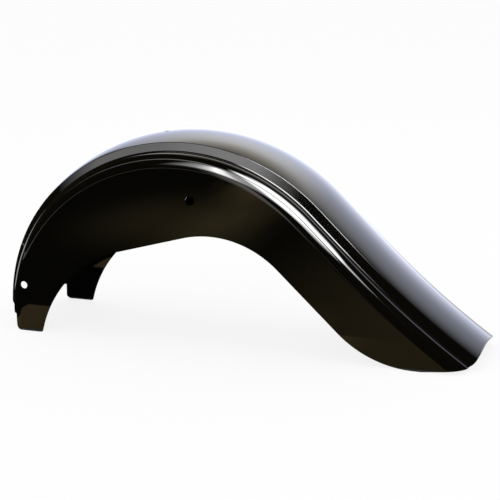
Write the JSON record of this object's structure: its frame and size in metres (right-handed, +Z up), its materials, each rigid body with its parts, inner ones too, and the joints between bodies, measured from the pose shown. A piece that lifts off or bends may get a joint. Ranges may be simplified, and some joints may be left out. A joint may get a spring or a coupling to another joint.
{
  "type": "stretched rear fender",
  "caption": "Pressed sheet-steel rear fender that arches over the wheel, runs down a straight back and kicks up into a long tail, with a raised crown, creased shoulders and front leg tabs.",
  "frame": {"origin": "centre of the overall box in plan, on the surface that the legs and the tail's lower edge stand on", "axes": "+X to the tail along the length, +Y across the width, +Z up"},
  "size_m": [0.837, 0.204, 0.35],
  "materials": {
    "e_coat_steel": "gloss black electrophoretic coat over pressed sheet steel"
  },
  "bodies": {
    "root": {"fender": "e_coat_steel"}
  },
  "joints": []
}
